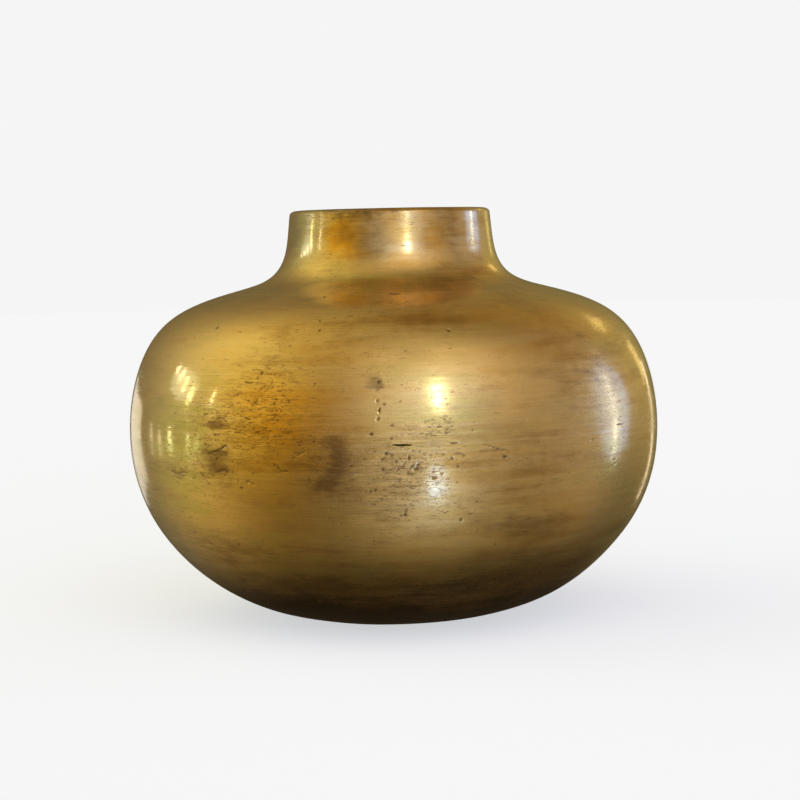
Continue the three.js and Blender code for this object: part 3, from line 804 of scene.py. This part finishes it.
# ------------------------------------------------------------------ floor, light and camera
floor_mesh = bpy.data.meshes.new("floor")
R = 6.0
ring = [(R * math.cos(a), R * math.sin(a), 0.0) for a in np.linspace(0, 2 * math.pi, 96, endpoint=False)]
floor_mesh.from_pydata(ring, [], [list(range(96))])
floor = bpy.data.objects.new("floor", floor_mesh)
bpy.context.scene.collection.objects.link(floor)
pale = bpy.data.materials.new("pale_floor")
pale.use_nodes = True
shade = pale.node_tree.nodes["Principled BSDF"]
shade.inputs["Base Color"].default_value = (0.55, 0.62, 0.85, 1)
shade.inputs["Roughness"].default_value = 0.9
shade.inputs["Specular IOR Level"].default_value = 0.0
shade.inputs["Emission Color"].default_value = (0.975, 0.985, 1, 1)
shade.inputs["Emission Strength"].default_value = 0.60
floor.data.materials.append(pale)
floor.visible_glossy = False
floor.visible_shadow = False

# The metal of the underside mirrors the shaded table round the foot: a soft dark disc that only reflections see.
shade_mesh = bpy.data.meshes.new("foot_shade")
ring = [(0.36 * math.cos(a), 0.36 * math.sin(a), -0.0006) for a in np.linspace(0, 2 * math.pi, 96, endpoint=False)]
shade_mesh.from_pydata(ring, [], [list(range(96))])
foot_shade = bpy.data.objects.new("foot_shade", shade_mesh)
bpy.context.scene.collection.objects.link(foot_shade)
dim = bpy.data.materials.new("foot_shade")
dim.use_nodes = True
dim.node_tree.nodes.clear()
d = Nodes(dim.node_tree)
from_axis = d.new("ShaderNodeVectorMath", operation="LENGTH")
d.link(d.new("ShaderNodeTexCoord").outputs["Object"], from_axis.inputs[0])
clear = d.new("ShaderNodeBsdfTransparent")
dark = d.new("ShaderNodeBsdfDiffuse")
dark.inputs["Color"].default_value = (0.05, 0.035, 0.02, 1)
blend = d.new("ShaderNodeMixShader")
d.link(d.span(from_axis.outputs["Value"], 0.100, 0.168, 0.0, 1.0), blend.inputs[0])
d.link(dark.outputs[0], blend.inputs[1])
d.link(clear.outputs[0], blend.inputs[2])
done = d.new("ShaderNodeOutputMaterial")
d.link(blend.outputs[0], done.inputs["Surface"])
foot_shade.data.materials.append(dim)
for key in ("visible_camera", "visible_diffuse", "visible_shadow", "visible_transmission", "visible_volume_scatter"):
    setattr(foot_shade, key, False)

# A far round backdrop that only the camera sees, so every view has the same pale ground.
bpy.ops.mesh.primitive_uv_sphere_add(segments=64, ring_count=32, radius=R - 0.01)
backdrop = bpy.context.object
backdrop.name = "backdrop"
glow = bpy.data.materials.new("pale_backdrop")
glow.use_nodes = True
glow.node_tree.nodes.clear()
emit = glow.node_tree.nodes.new("ShaderNodeEmission")
emit.inputs["Color"].default_value = (1, 1, 1, 1)
emit.inputs["Strength"].default_value = 0.915
end = glow.node_tree.nodes.new("ShaderNodeOutputMaterial")
glow.node_tree.links.new(emit.outputs[0], end.inputs["Surface"])
backdrop.data.materials.append(glow)
for key in ("visible_glossy", "visible_diffuse", "visible_shadow", "visible_transmission", "visible_volume_scatter"):
    setattr(backdrop, key, False)

# The room's soft light, by direction: a bright upper front, a dimmer middle and a dark lower half.
world = bpy.data.worlds.new("soft_room")
bpy.context.scene.world = world
world.use_nodes = True
wt = world.node_tree
wt.nodes.clear()
w = Nodes(wt)
direction = w.new("ShaderNodeTexCoord").outputs["Generated"]


def lobe(azimuth, elevation, tight):
    """1 towards a direction, falling off round it. Azimuth 0 is towards the camera and + is right."""
    a, e = math.radians(azimuth), math.radians(elevation)
    d = (math.sin(a) * math.cos(e), -math.cos(a) * math.cos(e), math.sin(e))
    node = w.new("ShaderNodeVectorMath", operation="DOT_PRODUCT")
    w.link(direction, node.inputs[0])
    node.inputs[1].default_value = d
    return w.math("EXPONENT", w.math("MULTIPLY", w.math("SUBTRACT", node.outputs["Value"], 1.0), tight))


LOBES = [  # azimuth, elevation, tightness, colour
    (-105, 48, 6.0, (0.84, 0.76, 0.38)),
    (-65, 48, 6.0, (0.06, 0.04, 0.01)),
    (0, 48, 6.0, (0.20, 0.15, 0.08)),
    (30, 48, 6.0, (0.71, 0.65, 0.57)),
    (140, 48, 6.0, (0.21, 0.13, 0.04)),
    (-150, 12, 8.0, (0.18, 0.12, 0.04)),
    (-105, 12, 8.0, (0.20, 0.25, 0.27)),
    (-65, 12, 8.0, (0.60, 0.49, 0.07)),
    (-30, 10, 12.0, (0.09, 0.03, 0.00)),
    (10, 12, 8.0, (0.49, 0.54, 0.60)),
    (50, 12, 8.0, (0.20, 0.14, 0.08)),
    (95, 12, 8.0, (0.40, 0.39, 0.48)),
    (140, 12, 8.0, (0.44, 0.38, 0.14)),
    (-105, -28, 7.0, (0.40, 0.32, 0.15)),
    (-60, -28, 7.0, (0.12, 0.06, 0.01)),
    (15, -28, 7.0, (0.53, 0.48, 0.43)),
    (90, -28, 7.0, (0.22, 0.19, 0.14)),
    (15, -62, 5.0, (0.20, 0.18, 0.12)),
    (22, 22, 20.0, (0.26, 0.42, 1.05)),
    (20, -35, 20.0, (0.13, 0.28, 0.56)),
    (62, -9, 12.0, (0.07, 0.06, 0.06)),
    (-145, -32, 10.0, (0.12, 0.11, 0.07)),
    (-53, 23, 25.0, (0.20, 0.15, 0.05)),
    (-102, -13, 16.0, (0.24, 0.21, 0.12)),
    (100, -22, 16.0, (0.07, 0.06, 0.05)),
    (-160, 46, 12.0, (0.07, 0.05, 0.02)),
]
total = w.new("ShaderNodeCombineXYZ").outputs[0]
total.node.inputs[0].default_value = 0.008
total.node.inputs[1].default_value = 0.007
total.node.inputs[2].default_value = 0.006
for az, el, tight, colour in LOBES:
    node = w.new("ShaderNodeVectorMath", operation="SCALE")
    node.inputs[0].default_value = colour
    w.link(lobe(az, el, tight), node.inputs["Scale"])
    total = w.vector("ADD", total, node.outputs[0])
ground = w.new("ShaderNodeBackground")
w.link(total, ground.inputs["Color"])
ground.inputs["Strength"].default_value = 1.0
wend = w.new("ShaderNodeOutputWorld")
w.link(ground.outputs[0], wend.inputs["Surface"])


def panel(name, azimuth, elevation, distance, size, colour, radiance, aim=(0, 0, 0.12), shape="RECTANGLE"):
    """A soft light panel in a direction from the pot, facing it. radiance is its brightness as the metal sees it."""
    light = bpy.data.lights.new(name, "AREA")
    light.shape = shape
    light.size, light.size_y = size
    light.color = colour
    area = size[0] * size[1] * (math.pi / 4 if shape == "ELLIPSE" else 1)
    light.energy = radiance * math.pi * area
    a, e = math.radians(azimuth), math.radians(elevation)
    d = Vector((math.sin(a) * math.cos(e), -math.cos(a) * math.cos(e), math.sin(e)))
    o = bpy.data.objects.new(name, light)
    bpy.context.scene.collection.objects.link(o)
    o.location = Vector(aim) + d * distance
    o.rotation_mode = "QUATERNION"
    o.rotation_quaternion = d.to_track_quat("Z", "Y")
    o.visible_camera = False
    o.visible_diffuse = False
    return o


panel("key", 19.0, 23.0, 2.4, (0.18, 0.64), (0.54, 0.70, 1.0), 12.2, shape="ELLIPSE")
panel("key_low", 17.6, -23.2, 2.4, (0.28, 0.80), (0.165, 0.335, 1.0), 8.4, shape="ELLIPSE")
panel("strip_right", 104.5, 2.5, 2.2, (0.070, 1.20), (0.66, 0.80, 1.0), 5.3, shape="ELLIPSE")
panel("strip_halo", 105, 4.0, 2.3, (0.98, 1.40), (0.17, 0.33, 1.0), 1.85, shape="ELLIPSE")
panel("window_left_1", -114, 19.5, 2.4, (0.10, 0.16), (0.66, 0.82, 1.0), 2.4, shape="ELLIPSE")
panel("window_left_2", -108.5, 18.0, 2.4, (0.12, 0.22), (0.66, 0.82, 1.0), 3.0, shape="ELLIPSE")
panel("window_left_3", -103, 16.0, 2.4, (0.10, 0.26), (0.70, 0.84, 1.0), 2.6, shape="ELLIPSE")
panel("window_halo", -104, 16, 2.5, (0.90, 0.50), (0.50, 0.66, 1.0), 0.75, shape="ELLIPSE")
panel("window_left_4", -97, 12.5, 2.4, (0.12, 0.34), (0.90, 1.0, 0.85), 2.6, shape="ELLIPSE")
panel("window_bar", -83, 14, 2.4, (0.05, 0.34), (0.90, 0.97, 1.0), 3.6)
panel("window_low_1", -89, -4.5, 2.4, (0.06, 0.26), (0.76, 0.88, 1.0), 2.5)
panel("window_low_2", -94.5, -4.5, 2.4, (0.06, 0.28), (0.76, 0.88, 1.0), 3.0)
panel("window_low_3", -107, -4, 2.4, (0.09, 0.28), (0.76, 0.88, 1.0), 3.0)
panel("window_low_4", -115.5, -5, 2.4, (0.10, 0.28), (0.80, 0.90, 1.0), 1.1)
panel("window_low_5", -123.5, -5, 2.4, (0.10, 0.30), (0.80, 0.90, 1.0), 0.8)
panel("wall_left", -147, -6, 2.4, (0.90, 0.62), (0.94, 0.98, 1.0), 0.80)
panel("edge_right", 147, -6, 2.4, (0.16, 0.95), (1.0, 0.94, 0.80), 0.95)
panel("leaves_high", 142, 27, 2.4, (0.55, 0.20), (1.0, 0.86, 0.42), 0.75)
panel("leaves_low", 143, 8, 2.4, (0.26, 0.42), (1.0, 0.90, 0.45), 0.60)

cam_data = bpy.data.cameras.new("camera")
camera = bpy.data.objects.new("camera", cam_data)
bpy.context.scene.collection.objects.link(camera)
pitch, yaw, roll = math.radians(-4.464416), math.radians(0.190899), math.radians(1.202898)
forward = Vector((math.sin(yaw) * math.cos(pitch), math.cos(yaw) * math.cos(pitch), math.sin(pitch)))
right = Vector((math.cos(yaw), -math.sin(yaw), 0))
up = right.cross(forward)
turned_right = right * math.cos(roll) - up * math.sin(roll)
turned_up = right * math.sin(roll) + up * math.cos(roll)
m = Matrix((turned_right, turned_up, -forward)).transposed().to_4x4()
m.translation = Vector((0, -1.238676, 0.225338))
camera.matrix_world = m
cam_data.sensor_width = 36.0
cam_data.lens = 91.50
cam_data.clip_start, cam_data.clip_end = 0.05, 50
bpy.context.scene.camera = camera
bpy.context.scene.view_settings.view_transform = "Standard"
bpy.context.scene.view_settings.look = "None"
